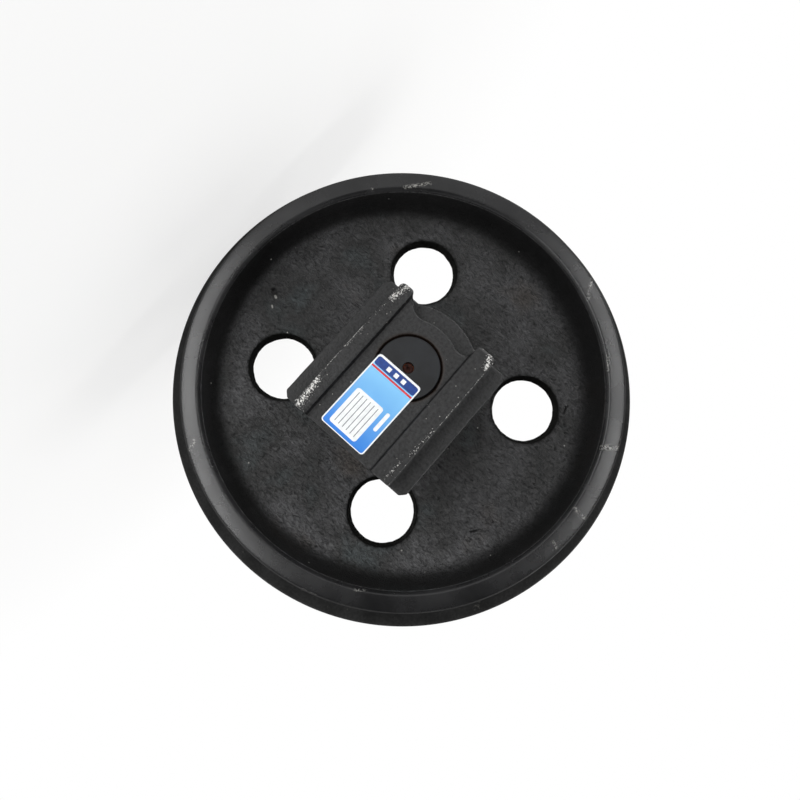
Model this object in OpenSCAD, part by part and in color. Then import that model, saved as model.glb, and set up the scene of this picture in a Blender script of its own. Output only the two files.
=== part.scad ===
// Front idler of a tracked excavator: a cast wheel on a fixed shaft, with two guide brackets.
// Millimetres. The wheel's axle is the Y axis, Z is up and the guide rails run along X.
// The left side is at -Y. The brackets' round noses point to -X and their flat ends to +X.

/* [Wheel] */
// Diameter of the tread under the track links
tread_d = 430; // [410:1:460]
// Height of the centre flange above the tread
flange_h = 20.5; // [14:0.5:26]
// Width of the centre flange at its tip
flange_w = 33; // [26:0.5:38]
// Widening of the flange at its root, on each side
flange_flare = 3; // [1:0.5:6]
// Rounding of the flange's tip
tip_round = 3; // [1:0.5:5]
// Rounding at the flange's root
root_round = 4; // [2:0.5:6]
// Width of the rim
rim_w = 106; // [100:1:116]
// Width of the flat ring on the rim's side
rim_t = 16.5; // [13:0.5:20]
// Chamfer on the rim's inner edge
lip_chamfer = 3.5; // [2:0.5:5]
// Chamfer on the rim's outer edge
tread_chamfer = 1.5; // [0.5:0.5:3]
// Draft of the rim's inner wall, in degrees
wall_draft = 5; // [2:0.5:8]
// Thickness of the web
web_t = 18; // [14:0.5:24]
// Fillet between the web and the rim
rim_fillet = 25; // [14:1:27]
// Fillet between the web and the hub
hub_fillet = 14; // [8:1:18]
// Diameter of a lightening hole
hole_d = 71; // [50:1:76]
// Narrowing of a hole at the web's middle, on the radius
hole_draft = 3.5; // [1:0.5:6]
// Distance from the axle to a hole's centre
hole_reach = 127.5; // [120:0.5:132]
// Number of lightening holes
hole_count = 4; // [3:1:5]
// Turn of the first hole from the rails' direction, in degrees
hole_turn = 31; // [0:1:90]

/* [Hub and bearings] */
// Length of the hub
hub_len = 132; // [126:1:140]
// Wall of the hub around a seal pocket
hub_wall = 6; // [5:0.5:9]
// Chamfer on the ends of the hub and of the seal bosses
hub_edge = 2; // [1:0.5:3]
// Draft of the hub, in degrees
hub_draft = 3; // [1:0.5:5]
// Wall of a bush
bush_wall = 5; // [3.5:0.5:6]
// Length of a bush under its flange
bush_len = 36; // [28:1:40]
// Thickness of a bush's thrust flange
bush_flange_t = 4; // [3:0.5:6]
// Reach of the thrust flange past the bush
bush_flange_h = 5.5; // [4:0.5:6]
// Depth of the oil space between the bushes
oil_space_h = 6; // [3:0.5:9]

/* [Shaft] */
// Diameter of the shaft
shaft_d = 55; // [50:0.5:60]
// Chamfer on the shaft's ends
shaft_chamfer = 0.6; // [0.3:0.1:1]
// Diameter of the oil bore and of the plug's thread
oil_bore_d = 6; // [5:0.5:6.5]
// Diameter of the plug's counterbore
plug_bore_d = 10; // [9:0.1:12]
// Depth of the plug's head below the shaft's end
plug_sink = 2.6; // [1:0.1:5]
// Height of the plug's head
plug_head_t = 3; // [2:0.1:5]
// Gap around the plug's head, on the radius
plug_head_gap = 0.9; // [0.3:0.1:1.2]
// Length of the plug's thread
plug_thread = 8; // [5:0.5:12]
// Width across the flats of the plug's socket
plug_socket = 3; // [2.5:0.1:4]
// Depth of the plug's socket
plug_socket_h = 2.1; // [1.5:0.1:2.8]
// Thickness of the plug's washer
washer_t = 1; // [0.6:0.1:1.5]
// Thickness of an O-ring on the shaft
o_ring_t = 3.2; // [2.4:0.1:4]
// Diameter of a lock pin
pin_d = 12; // [8:0.5:14]
// Depth of a lock pin's ends below the bracket's sides
pin_sink = 3; // [1:0.5:6]

/* [Bracket] */
// Width over the two guide rails
rail_span = 104; // [98:1:116]
// Width of the lower guide rail
low_rail_w = 14; // [11:0.5:17]
// Width of the upper guide rail
high_rail_w = 19; // [15:0.5:21]
// Height of the rails above the guide floor
rail_h = 6; // [5:0.5:12]
// Reach of the rails from the axle to the nose end
rail_nose = 54; // [50:1:60]
// Reach of the rails from the axle to the flat end
rail_tail = 86; // [74:1:100]
// Rounding of the rails' corners at the nose end
rail_round = 5; // [3:0.5:6]
// Fillet along the foot of the rails
rail_foot = 3.5; // [1:0.5:4.5]
// Slope cut on the rails' top at the nose end
rail_slope = 3; // [1:0.5:5]
// Wall around the shaft at the nose of the guide floor
nose_wall = 16; // [14:0.5:18]
// Fillet between that nose and the upper rail
high_fillet = 10; // [6:0.5:12]
// Fillet between that nose and the lower rail
low_fillet = 17; // [8:0.5:18]
// Width of the ledge round the nose
nose_ledge = 19; // [14:0.5:22]
// Height of the guide floor above the ledge
block_h = 18.5; // [10:0.5:24]
// Width of the base
base_w = 138; // [130:1:150]
// Thickness of the base
base_t = 18.5; // [17:0.5:26]
// Chamfer on the base's corners
base_chamfer = 5; // [2:0.5:8]
// Height of the seal boss under the base
boss_h = 12; // [8:0.5:14]
// Chamfer at the foot of the seal boss
boss_foot = 4; // [2:0.5:6]
// Width of the ring groove round the shaft's end
relief_w = 1.6; // [0.8:0.1:2.4]
// Depth of that groove
relief_h = 5; // [2:0.5:8]
// Wall of the thrust collar on the shaft
collar_wall = 6; // [4.5:0.5:7]

/* [Seals] */
// Gap between the hub and the seal boss
seal_gap = 2; // [1:0.1:4]
// Depth of a seal pocket
pocket_depth = 16; // [15:0.5:18]
// Radial gap between a seal ring and the thrust collar
ring_gap = 2.5; // [1.5:0.1:4]
// Wall of a seal ring at its back
ring_wall = 4; // [3:0.1:6]
// Length of a seal ring
ring_len = 13; // [11:0.5:14]
// Thickness of a seal ring's face flange
ring_flange_t = 4.5; // [3:0.1:5]
// Reach of that flange past the ring's back
ring_flange_h = 6; // [4.5:0.1:7]
// Thickness of a rubber toric
toric_t = 6.4; // [5.6:0.1:7]
// Angle of the toric's seats, in degrees
seat_angle = 15; // [8:1:18]

/* [Clearances] */
// Running gap between the shaft and the bushes, on the radius
run_gap = 0.06; // [0.02:0.01:0.1]
// Gap of parts that are pressed or pinned together, on the radius
press_gap = 0.03; // [0.01:0.01:0.08]
// End play between a thrust collar and a bush
thrust_gap = 0.3; // [0.1:0.05:0.6]
// Gap between rubber and its seat
soft_gap = 0.2; // [0.05:0.05:0.3]
// Oil film between the two seal faces
seal_film = 0.1; // [0.04:0.02:0.2]
// Depth of the shaft's ends below the guide floor
shaft_sink = 0.3; // [0:0.1:1]

/* [Hidden] */
$fn = 96;
overlap = 0.1;
over = 1;

// Radii, from the shaft outwards
shaft_r = shaft_d / 2;
bush_r = shaft_r + bush_wall;
bush_flange_r = bush_r + bush_flange_h;
collar_r = shaft_r + collar_wall;
ring_bore_r = collar_r + ring_gap;
ring_back_r = ring_bore_r + ring_wall;
ring_flange_r = ring_back_r + ring_flange_h;
toric_r = toric_t / 2;
tread_r = tread_d / 2;
flange_r = tread_r + flange_h;
lip_r = tread_r - rim_t;
pin_r = pin_d / 2;

// Places along the axle, from the wheel's middle outwards
hub_s = hub_len / 2;
pocket_s = hub_s - pocket_depth;
seal_s = hub_s + seal_gap / 2;
bush_seat_s = pocket_s - bush_flange_t;
bush_end_s = bush_seat_s - bush_len;
boss_s = hub_s + seal_gap;
base_s = boss_s + boss_h;
ledge_s = base_s + base_t;
floor_s = ledge_s + block_h;
rail_s = floor_s + rail_h;
collar_s = pocket_s + thrust_gap;
shaft_s = floor_s - shaft_sink;
cavity_s = boss_s + pocket_depth;
pin_s = cavity_s + pin_r + over;
o_ring_s = (boss_s + base_s) / 2;

// Bracket outline
low_in = rail_span / 2 - low_rail_w;
high_in = rail_span / 2 - high_rail_w;
nose_r = shaft_r + nose_wall;
nose_base_r = nose_r + nose_ledge;
boss_r = pocket_r(seal_gap / 2) + hub_wall;
hub_r = boss_r;

// Seats of a seal, at depth t behind the seal's face
function ramp_r(t) = ring_back_r + (ring_len - t) * tan(seat_angle);
function pocket_r(t) = ramp_r(t) + (toric_t + 2 * soft_gap) / cos(seat_angle);

// Points of an arc
function arc(c, r, a0, a1, n = 10) =
  [for (i = [0:n]) c + r * [cos(a0 + (a1 - a0) * i / n), sin(a0 + (a1 - a0) * i / n)]];

// Turns a shape whose Z axis points outwards to one side of the wheel
module on_side(left = true) {
  mirror([0, left ? 0 : 1, 0])
    rotate([90, 0, 0])
      children();
}

// Half of the wheel's section, from the flange's tip to the bore, as radius and place
function wall_at(s) = lip_r - lip_chamfer - (rim_w / 2 - lip_chamfer - s) * tan(wall_draft);
function hub_at(s) = hub_r + (hub_s - s) * tan(hub_draft);
rim_arc = [wall_at(web_t / 2 + rim_fillet) - rim_fillet / cos(wall_draft), web_t / 2 + rim_fillet];
hub_arc = [hub_at(web_t / 2 + hub_fillet) + hub_fillet / cos(hub_draft), web_t / 2 + hub_fillet];
flange_root = flange_w / 2 + flange_flare;
half_wheel = concat(
  arc([flange_r - tip_round, flange_w / 2 - tip_round], tip_round, 0, 82, 5),
  arc([tread_r + root_round, flange_root + root_round], root_round, 262, 180, 5),
  [
    [tread_r, rim_w / 2 - tread_chamfer],
    [tread_r - tread_chamfer, rim_w / 2],
    [lip_r, rim_w / 2],
    [lip_r - lip_chamfer, rim_w / 2 - lip_chamfer]
  ],
  arc(rim_arc, rim_fillet, -wall_draft, -90, 14),
  arc(hub_arc, hub_fillet, 270, 180 + hub_draft, 10),
  [
    [hub_at(hub_s - hub_edge), hub_s - hub_edge],
    [hub_r - hub_edge, hub_s],
    [pocket_r(seal_gap / 2), hub_s],
    [pocket_r(seal_gap / 2 + pocket_depth), pocket_s],
    [bush_flange_r + press_gap, pocket_s],
    [bush_flange_r + press_gap, bush_seat_s],
    [bush_r + press_gap, bush_seat_s],
    [bush_r + press_gap, bush_end_s - over],
    [bush_r + oil_space_h, bush_end_s - over]
  ]
);

// A hole that narrows from both faces of the web to its middle, as the sand core leaves it
module lightening_hole() {
  hole_r = hole_d / 2;
  end_s = web_t / 2 + over;
  end_r = hole_r + hole_draft * over / (web_t / 2);
  rotate_extrude()
    polygon([[0, -end_s], [end_r, -end_s], [hole_r - hole_draft, 0], [end_r, end_s], [0, end_s]]);
}

module idler_wheel() {
  color("#2c2c2e")
    rotate([90, 0, 0])
      difference() {
        rotate_extrude()
          polygon(concat(
            half_wheel,
            [for (i = [len(half_wheel) - 1:-1:0]) [half_wheel[i].x, -half_wheel[i].y]]
          ));
        for (i = [0:hole_count - 1])
          rotate(hole_turn + i * 360 / hole_count)
            translate([hole_reach, 0, 0])
              lightening_hole();
      }
}

module bush() {
  color("#b5863b")
    rotate_extrude()
      polygon([
        [shaft_r + run_gap, bush_end_s],
        [bush_r, bush_end_s],
        [bush_r, bush_seat_s],
        [bush_flange_r, bush_seat_s],
        [bush_flange_r, pocket_s],
        [shaft_r + run_gap, pocket_s]
      ]);
}

// The round section of an O-ring, and the groove that it lies in
o_ring_r = shaft_r - soft_gap - o_ring_t / 2;
groove_r = o_ring_r - o_ring_t / 2 - soft_gap;
groove_w = o_ring_t + 2 * soft_gap;
module o_ring() {
  color("#151515")
    translate([0, 0, o_ring_s])
      rotate_extrude()
        translate([o_ring_r, 0])
          circle(d = o_ring_t);
}

module o_ring_groove() {
  translate([0, 0, o_ring_s])
    rotate_extrude()
      translate([groove_r, -groove_w / 2])
        square([shaft_r - groove_r + over, groove_w]);
}

// Place of a lock pin, tangent to the shaft so that it locks turning and sliding
module pin_bore(r, h) {
  translate([shaft_r, 0, pin_s])
    rotate([90, 0, 0])
      cylinder(h = h, r = r, center = true);
}

pin_len = base_w - 2 * pin_sink;
module lock_pin() {
  color("#6d6f73")
    pin_bore(pin_r, pin_len);
}

plug_depth = plug_sink + plug_head_t + washer_t;
plug_bore_r = plug_bore_d / 2;
plug_head_r = plug_bore_r - plug_head_gap;
module shaft() {
  color("#3a3a3c")
    rotate([90, 0, 0])
      difference() {
        rotate_extrude()
          polygon([
            [0, -shaft_s],
            [shaft_r - shaft_chamfer, -shaft_s],
            [shaft_r, shaft_chamfer - shaft_s],
            [shaft_r, shaft_s - shaft_chamfer],
            [shaft_r - shaft_chamfer, shaft_s],
            [0, shaft_s]
          ]);
        for (side = [0, 1])
          mirror([0, 0, side]) {
            o_ring_groove();
            pin_bore(pin_r + press_gap, rail_span);
          }
        cylinder(h = shaft_s + over, d = oil_bore_d);
        translate([0, 0, shaft_s - plug_depth])
          cylinder(h = plug_depth + over, r = plug_bore_r);
        translate([0, 0, oil_bore_d / 2])
          rotate([-90, 0, 0])
            cylinder(h = shaft_r + over, d = oil_bore_d);
      }
}

module oil_plug() {
  color("#7a4a35")
    rotate([90, 0, 0])
      translate([0, 0, shaft_s - plug_sink])
        difference() {
          union() {
            translate([0, 0, -plug_head_t])
              cylinder(h = plug_head_t, r = plug_head_r);
            translate([0, 0, -plug_depth + plug_sink - plug_thread])
              cylinder(h = plug_thread + washer_t + over, d = oil_bore_d - 2 * press_gap);
          }
          translate([0, 0, -plug_socket_h])
            cylinder(h = plug_socket_h + over, d = plug_socket / cos(30), $fn = 6);
        }
}

module plug_washer() {
  color("#a5623c")
    rotate([90, 0, 0])
      translate([0, 0, shaft_s - plug_depth])
        difference() {
          cylinder(h = washer_t, r = plug_bore_r - press_gap);
          translate([0, 0, -over])
            cylinder(h = washer_t + 2 * over, d = oil_bore_d + 2 * press_gap);
        }
}

// One rail seen along the axle, with its nose corners rounded
module rail_outline(y0, y1) {
  polygon(concat(
    [[rail_tail, y0], [rail_tail, y1]],
    arc([-rail_nose + rail_round, y1 - rail_round], rail_round, 90, 180, 6),
    arc([-rail_nose + rail_round, y0 + rail_round], rail_round, 180, 270, 6)
  ));
}

// The corner between the nose and a rail, filled up to a hollow fillet
module nose_corner(wall, f) {
  reach = nose_r + f - overlap;
  cy = wall - f + overlap;
  cx = -sqrt(reach * reach - cy * cy);
  end = max(cx, rail_round - rail_nose);
  intersection() {
    difference() {
      polygon([[0, 0], [cx, cy], [cx, wall + over], [0, wall + over]]);
      translate([cx, cy])
        circle(f);
    }
    translate([end, 0])
      square([-end, wall + over]);
  }
}

module block_outline() {
  rail_outline(-rail_span / 2, -low_in);
  rail_outline(high_in, rail_span / 2);
  translate([0, -low_in - over])
    square([rail_tail, low_in + high_in + 2 * over]);
  circle(nose_r);
  nose_corner(high_in, high_fillet);
  mirror([0, 1])
    nose_corner(low_in, low_fillet);
}

module base_outline() {
  polygon([
    [-rail_nose, base_chamfer - base_w / 2],
    [base_chamfer - rail_nose, -base_w / 2],
    [rail_tail - base_chamfer, -base_w / 2],
    [rail_tail, base_chamfer - base_w / 2],
    [rail_tail, base_w / 2 - base_chamfer],
    [rail_tail - base_chamfer, base_w / 2],
    [base_chamfer - rail_nose, base_w / 2],
    [-rail_nose, base_w / 2 - base_chamfer]
  ]);
  circle(nose_base_r);
}

// The channel between the rails, with a fillet along each foot
module guide_channel() {
  f = rail_foot;
  translate([-rail_nose - over, 0, 0])
    rotate([90, 0, 90])
      linear_extrude(rail_nose + rail_tail + 2 * over)
        polygon(concat(
          [[high_in, rail_s + over], [-low_in, rail_s + over]],
          arc([f - low_in, floor_s + f], f, 180, 270, 5),
          arc([high_in - f, floor_s + f], f, 270, 360, 5)
        ));
}

// The sloped top of the rails at the nose end
module nose_slope() {
  translate([-rail_nose, 0, rail_s])
    rotate([0, 45, 0])
      cube([rail_slope * sqrt(2), rail_span + over, rail_slope * sqrt(2)], center = true);
}

module bracket() {
  color("#2f2f31")
    difference() {
      union() {
        difference() {
          union() {
            translate([0, 0, base_s])
              linear_extrude(base_t)
                base_outline();
            difference() {
              translate([0, 0, base_s + over])
                linear_extrude(rail_s - base_s - over)
                  block_outline();
              guide_channel();
              nose_slope();
            }
            rotate_extrude()
              polygon([
                [0, boss_s],
                [boss_r - hub_edge, boss_s],
                [boss_r, boss_s + hub_edge],
                [boss_r, base_s - boss_foot],
                [boss_r + boss_foot, base_s],
                [boss_r + boss_foot, base_s + over],
                [0, base_s + over]
              ]);
          }
          translate([0, 0, seal_s])
            rotate_extrude()
              polygon([
                [0, 0],
                [pocket_r(seal_gap / 2), 0],
                [pocket_r(seal_gap / 2), seal_gap / 2],
                [pocket_r(seal_gap / 2 + pocket_depth), seal_gap / 2 + pocket_depth],
                [0, seal_gap / 2 + pocket_depth]
              ]);
        }
        translate([0, 0, collar_s])
          cylinder(h = cavity_s + over - collar_s, r = collar_r);
      }
      translate([0, 0, collar_s - over])
        cylinder(h = rail_s - collar_s + 2 * over, r = shaft_r + press_gap);
      translate([0, 0, floor_s - relief_h])
        cylinder(h = relief_h + over, r = shaft_r + relief_w);
      pin_bore(pin_r + press_gap, base_w + 2 * over);
    }
}

module seal_ring() {
  color("#8d8f94")
    rotate_extrude()
      polygon([
        [ring_bore_r, seal_film / 2],
        [ring_flange_r, seal_film / 2],
        [ring_flange_r, ring_flange_t],
        [ramp_r(ring_flange_t), ring_flange_t],
        [ring_back_r, ring_len],
        [ring_bore_r, ring_len]
      ]);
}

// The rubber ring between a seal ring's ramp and its pocket
toric_t_at = (ring_flange_t + ring_len) / 2;
toric_at = ramp_r(toric_t_at) + (toric_r + soft_gap) / cos(seat_angle);
module toric() {
  color("#1a1a1a")
    rotate_extrude()
      translate([toric_at, toric_t_at])
        circle(toric_r);
}

// Places a seal piece in the bracket, or turned round in the wheel
module in_bracket() {
  translate([0, 0, seal_s])
    children();
}

module in_wheel() {
  in_bracket()
    mirror([0, 0, 1])
      children();
}

module left_bush() { on_side() bush(); }
module right_bush() { on_side(false) bush(); }
module left_bracket() { on_side() bracket(); }
module right_bracket() { on_side(false) bracket(); }
module left_wheel_seal_ring() { on_side() in_wheel() seal_ring(); }
module right_wheel_seal_ring() { on_side(false) in_wheel() seal_ring(); }
module left_bracket_seal_ring() { on_side() in_bracket() seal_ring(); }
module right_bracket_seal_ring() { on_side(false) in_bracket() seal_ring(); }
module left_wheel_toric() { on_side() in_wheel() toric(); }
module right_wheel_toric() { on_side(false) in_wheel() toric(); }
module left_bracket_toric() { on_side() in_bracket() toric(); }
module right_bracket_toric() { on_side(false) in_bracket() toric(); }
module left_shaft_o_ring() { on_side() o_ring(); }
module right_shaft_o_ring() { on_side(false) o_ring(); }
module left_lock_pin() { on_side() lock_pin(); }
module right_lock_pin() { on_side(false) lock_pin(); }

idler_wheel();
left_bush();
right_bush();
shaft();
left_bracket();
right_bracket();
left_wheel_seal_ring();
right_wheel_seal_ring();
left_bracket_seal_ring();
right_bracket_seal_ring();
left_wheel_toric();
right_wheel_toric();
left_bracket_toric();
right_bracket_toric();
left_shaft_o_ring();
right_shaft_o_ring();
left_lock_pin();
right_lock_pin();
oil_plug();
plug_washer();
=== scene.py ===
import math
import bmesh
import bpy
from mathutils import Matrix, Vector, noise


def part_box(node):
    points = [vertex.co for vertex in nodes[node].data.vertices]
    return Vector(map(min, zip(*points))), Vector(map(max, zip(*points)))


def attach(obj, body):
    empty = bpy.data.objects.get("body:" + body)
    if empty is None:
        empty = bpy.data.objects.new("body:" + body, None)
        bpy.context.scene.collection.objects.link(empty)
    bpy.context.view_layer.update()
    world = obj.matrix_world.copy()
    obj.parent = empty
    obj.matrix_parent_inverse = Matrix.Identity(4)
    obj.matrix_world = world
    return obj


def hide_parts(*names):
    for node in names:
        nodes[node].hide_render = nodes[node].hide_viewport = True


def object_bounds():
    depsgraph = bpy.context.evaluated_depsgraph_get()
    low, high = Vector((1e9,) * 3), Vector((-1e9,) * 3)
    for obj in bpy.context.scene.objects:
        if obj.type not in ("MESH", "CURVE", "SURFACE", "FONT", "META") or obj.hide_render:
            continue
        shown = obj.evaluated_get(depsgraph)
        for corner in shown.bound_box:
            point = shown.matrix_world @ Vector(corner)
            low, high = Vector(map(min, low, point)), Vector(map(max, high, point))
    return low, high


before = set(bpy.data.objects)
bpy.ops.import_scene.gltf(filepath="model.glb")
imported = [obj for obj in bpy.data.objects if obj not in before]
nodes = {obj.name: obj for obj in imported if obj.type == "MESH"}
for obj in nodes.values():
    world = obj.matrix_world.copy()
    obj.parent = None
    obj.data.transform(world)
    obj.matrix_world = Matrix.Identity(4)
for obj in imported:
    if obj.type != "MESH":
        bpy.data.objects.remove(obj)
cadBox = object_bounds()  # box of the solids, before any looks are added
mm = 0.001  # scene units are metres, sizes below are millimetres unless a note says metres
print("frame loaded:", len(nodes), "nodes")


# helpers

def clamped(value):
    return min(1, max(0, value))


def perMm(size):
    return 1000 / size  # texture scale that gives features about this many millimetres wide


def noiseAt(point, size, seed):
    # each seed reads the noise in a place of its own
    return noise.noise(Vector(point) * perMm(size) + Vector((seed, 2.7 * seed, 5.1 * seed)))


def looseObject(name, data):
    made = bpy.data.objects.new(name, data)
    bpy.context.scene.collection.objects.link(made)
    return made


def addPiece(name, mesh, body, replaced=()):
    piece = looseObject(name, mesh)
    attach(piece, body)
    if replaced:
        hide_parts(*replaced)
    return piece


def bakedMesh(piece):
    graph = bpy.context.evaluated_depsgraph_get()
    mesh = bpy.data.meshes.new_from_object(piece.evaluated_get(graph))
    bpy.data.objects.remove(piece)
    return mesh


def meshFrom(made, name):
    mesh = bpy.data.meshes.new(name)
    made.to_mesh(mesh)
    made.free()
    return mesh


def markVertices(mesh, name, amount):
    attribute = mesh.attributes.new(name, "FLOAT", "POINT")
    attribute.data.foreach_set("value", [amount(v) for v in mesh.vertices])


# shader helpers

noiseSpan = (0.3, 0.7)  # most values of a noise texture lie between these
strokeCore = 0.2  # share of a stroke's width that is solid
smooth = dict(interpolation_type="SMOOTHSTEP")


def linearColour(hexValue):
    parts = [int(hexValue[i:i + 2], 16) / 255 for i in (1, 3, 5)]
    return [c / 12.92 if c <= 0.04045 else ((c + 0.055) / 1.055) ** 2.4 for c in parts] + [1.0]


def outputOf(source):
    return source.outputs[0] if isinstance(source, bpy.types.Node) else source


def addNode(tree, kind, settings=None, links=None):
    # a link comes from an output, or from a node's first output
    node = tree.nodes.new("ShaderNode" + kind)
    for key, value in (settings or {}).items():
        if isinstance(key, str) and hasattr(node, key):
            setattr(node, key, value)
        else:
            node.inputs[key].default_value = value
    for key, source in (links or {}).items():
        tree.links.new(outputOf(source), node.inputs[key])
    return node


def placeIn(tree):
    return addNode(tree, "TexCoord").outputs["Object"]


def marked(tree, name):
    return addNode(tree, "Attribute", {"attribute_name": name}).outputs["Fac"]


def mathOn(tree, operation, *values):
    # each value is a number, an output or a node
    numbers = {i: v for i, v in enumerate(values) if isinstance(v, (int, float))}
    links = {i: v for i, v in enumerate(values) if i not in numbers}
    return addNode(tree, "Math", {"operation": operation, **numbers}, links)


def rangeOn(tree, source, limits, low=0.0, high=1.0, **more):
    # low at the first limit, high at the second
    return addNode(tree, "MapRange", {1: limits[0], 2: limits[1], 3: low, 4: high, **more}, {0: source})


def noiseOn(tree, place, size, detail, **more):
    return addNode(tree, "TexNoise", {"Scale": perMm(size), "Detail": detail, **more}, {"Vector": place})


def cellsOn(tree, place, gap):
    # scattered cells: the first output is the distance from a cell's middle
    return addNode(tree, "TexVoronoi", {"Scale": perMm(gap)}, {"Vector": place})


def pickOf(tree, cells):
    # a random value per cell
    return addNode(tree, "SeparateColor", {}, {0: cells.outputs["Color"]})


def blend(tree, share, first, second):
    # a colour between two, each a hex value or an output
    node = addNode(tree, "Mix", {"data_type": "RGBA"}, {0: share})
    for key, colour in ((6, first), (7, second)):
        if isinstance(colour, str):
            node.inputs[key].default_value = linearColour(colour)
        else:
            tree.links.new(outputOf(colour), node.inputs[key])
    return node.outputs[2]


def rampOn(tree, source, stops):
    # a colour that runs through the stops, each a hex value and its place from 0 to 1
    node = addNode(tree, "ValToRGB", {}, {0: source})
    elements = node.color_ramp.elements
    (first, start), *between, (last, end) = stops
    elements[0].position, elements[0].color = start, linearColour(first)
    elements[1].position, elements[1].color = end, linearColour(last)
    for colour, position in between:
        elements.new(position).color = linearColour(colour)
    return node


def scaled(tree, colour, shade):
    return addNode(tree, "VectorMath", {"operation": "SCALE"}, {0: colour, "Scale": shade})


def bumpOn(tree, look, height):
    settings = {"Strength": look["bump"], "Distance": look["bumpHeight"] * mm}
    return addNode(tree, "Bump", settings, {"Height": height})


def strokesOn(tree, place, strokes):
    # 1 along each stroke, fading to 0 at its width
    total = None
    for start, end, width in strokes:
        along = (Vector(end) - Vector(start)) * mm
        offset = addNode(tree, "VectorMath", {"operation": "SUBTRACT", 1: Vector(start) * mm}, {0: place})
        share = addNode(tree, "VectorMath", {"operation": "DOT_PRODUCT", 1: along / along.length_squared},
                        {0: offset})
        held = addNode(tree, "Clamp", {}, {0: share.outputs["Value"]})
        foot = addNode(tree, "VectorMath", {"operation": "SCALE", 0: along}, {"Scale": held})
        gap = addNode(tree, "VectorMath", {"operation": "DISTANCE"}, {0: offset, 1: foot})
        stroke = rangeOn(tree, gap.outputs["Value"], (strokeCore * width * mm, width * mm), 1.0, 0.0)
        total = mathOn(tree, "MAXIMUM", total, stroke) if total else stroke
    return total


def newMaterial(name, **sockets):
    material = bpy.data.materials.new(name)
    material.use_nodes = True
    shader = material.node_tree.nodes["Principled BSDF"]
    for key, value in sockets.items():
        shader.inputs[key.replace("_", " ")].default_value = value
    return material, material.node_tree, shader


def wire(tree, shader, **sources):
    for key, source in sources.items():
        tree.links.new(outputOf(source), shader.inputs[key.replace("_", " ")])


# camera, fitted to the wheel's rim and holes: image right and up in the part's frame

camera = dict(
    railAngle=48.9,  # the rails' slope in the picture, degrees
    pitch=-7.95,
    yaw=1.63,
    place=(-20.2, -91.2, 573.1),  # right, up and out from the wheel's middle
    lens=24.75,
    sensor=36.0,
    clip=10,
)
slope = math.radians(camera["railAngle"])
pictureRight = Vector((-math.cos(slope), 0, math.sin(slope)))
pictureUp = Vector((-math.sin(slope), 0, -math.cos(slope)))
pictureOut = Vector((0, -1, 0))
pictureAxes = Matrix((pictureRight, pictureUp, pictureOut)).transposed()


def inPicture(right, up, out):
    return pictureAxes @ Vector((right, up, out))


def makeCamera():
    data = bpy.data.cameras.new("camera")
    data.lens = camera["lens"]
    data.sensor_width = camera["sensor"]
    data.clip_start = camera["clip"] * mm
    made = looseObject("camera", data)
    yaw = Matrix.Rotation(math.radians(camera["yaw"]), 3, "Y")
    pitch = Matrix.Rotation(math.radians(camera["pitch"]), 3, "X")
    turned = pictureAxes @ (yaw @ pitch).transposed()
    made.matrix_world = Matrix.Translation(inPicture(*camera["place"]) * mm) @ turned.to_4x4()
    bpy.context.scene.camera = made


makeCamera()
print("camera placed")


# materials

castPaint = dict(
    tones=(("#2f3334", 0.28), ("#272727", 0.42), ("#363637", 0.6), ("#353230", 0.74)),  # through the patches
    patch=60, grain=3.0, fineGrain=1.5, streak=(1.0, 1.0, 0.5),  # the grain is drawn out along z
    mottle=(0.12, 2.3), roughness=(0.36, 0.62),  # tone and roughness from the grain's hollows to its tops
    pit=10, pitEdge=(0.05, 0.18), pitTone=0.7,  # gap, edge as shares of the gap, tone
    speck="#a5a4a0", speckGap=9, speckEdge=(0.06, 0.1), speckFrom=0.9,  # one cell in ten has a speck
    recess=0.16, recessRough=0.3, gloss=(0.36, 0.2),  # painted shade: the rim's corner is darker and duller than the web
    paintedLightBetween=(35, 125), film=1.65,  # painted light: the paint is lightened along x
    bump=1.0, bumpHeight=2.8, fineShare=0.35, pitShare=0.4,
    paintedHollowShade=0.15,
    # ends and width of each blowhole or crack in the web, with painted shade inside
    hollows=(
        ((11.2, -9, -172.4), (13.6, -9, -168.8), 3.4),
        ((-47, -9, 128), (-44, -9, 132), 1.2),
        ((-96, -9, 141), (-90, -9, 143), 1.3),
        ((62, -9, 150), (66, -9, 147), 1.2),
        ((118, -9, 30), (121, -9, 36), 1.2),
    ),
    # the same of each chip beside the largest blowhole
    chips=(
        ((14.6, -9, -167.2), (15.6, -9, -165.0), 1.6),
        ((19.6, -9, -176.5), (22.2, -9, -176.0), 1.4),
        ((24.6, -9, -162.4), (26.0, -9, -160.6), 1.3),
        ((12.2, -9, -176.0), (13.2, -9, -174.6), 1.1),
    ),
)


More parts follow.
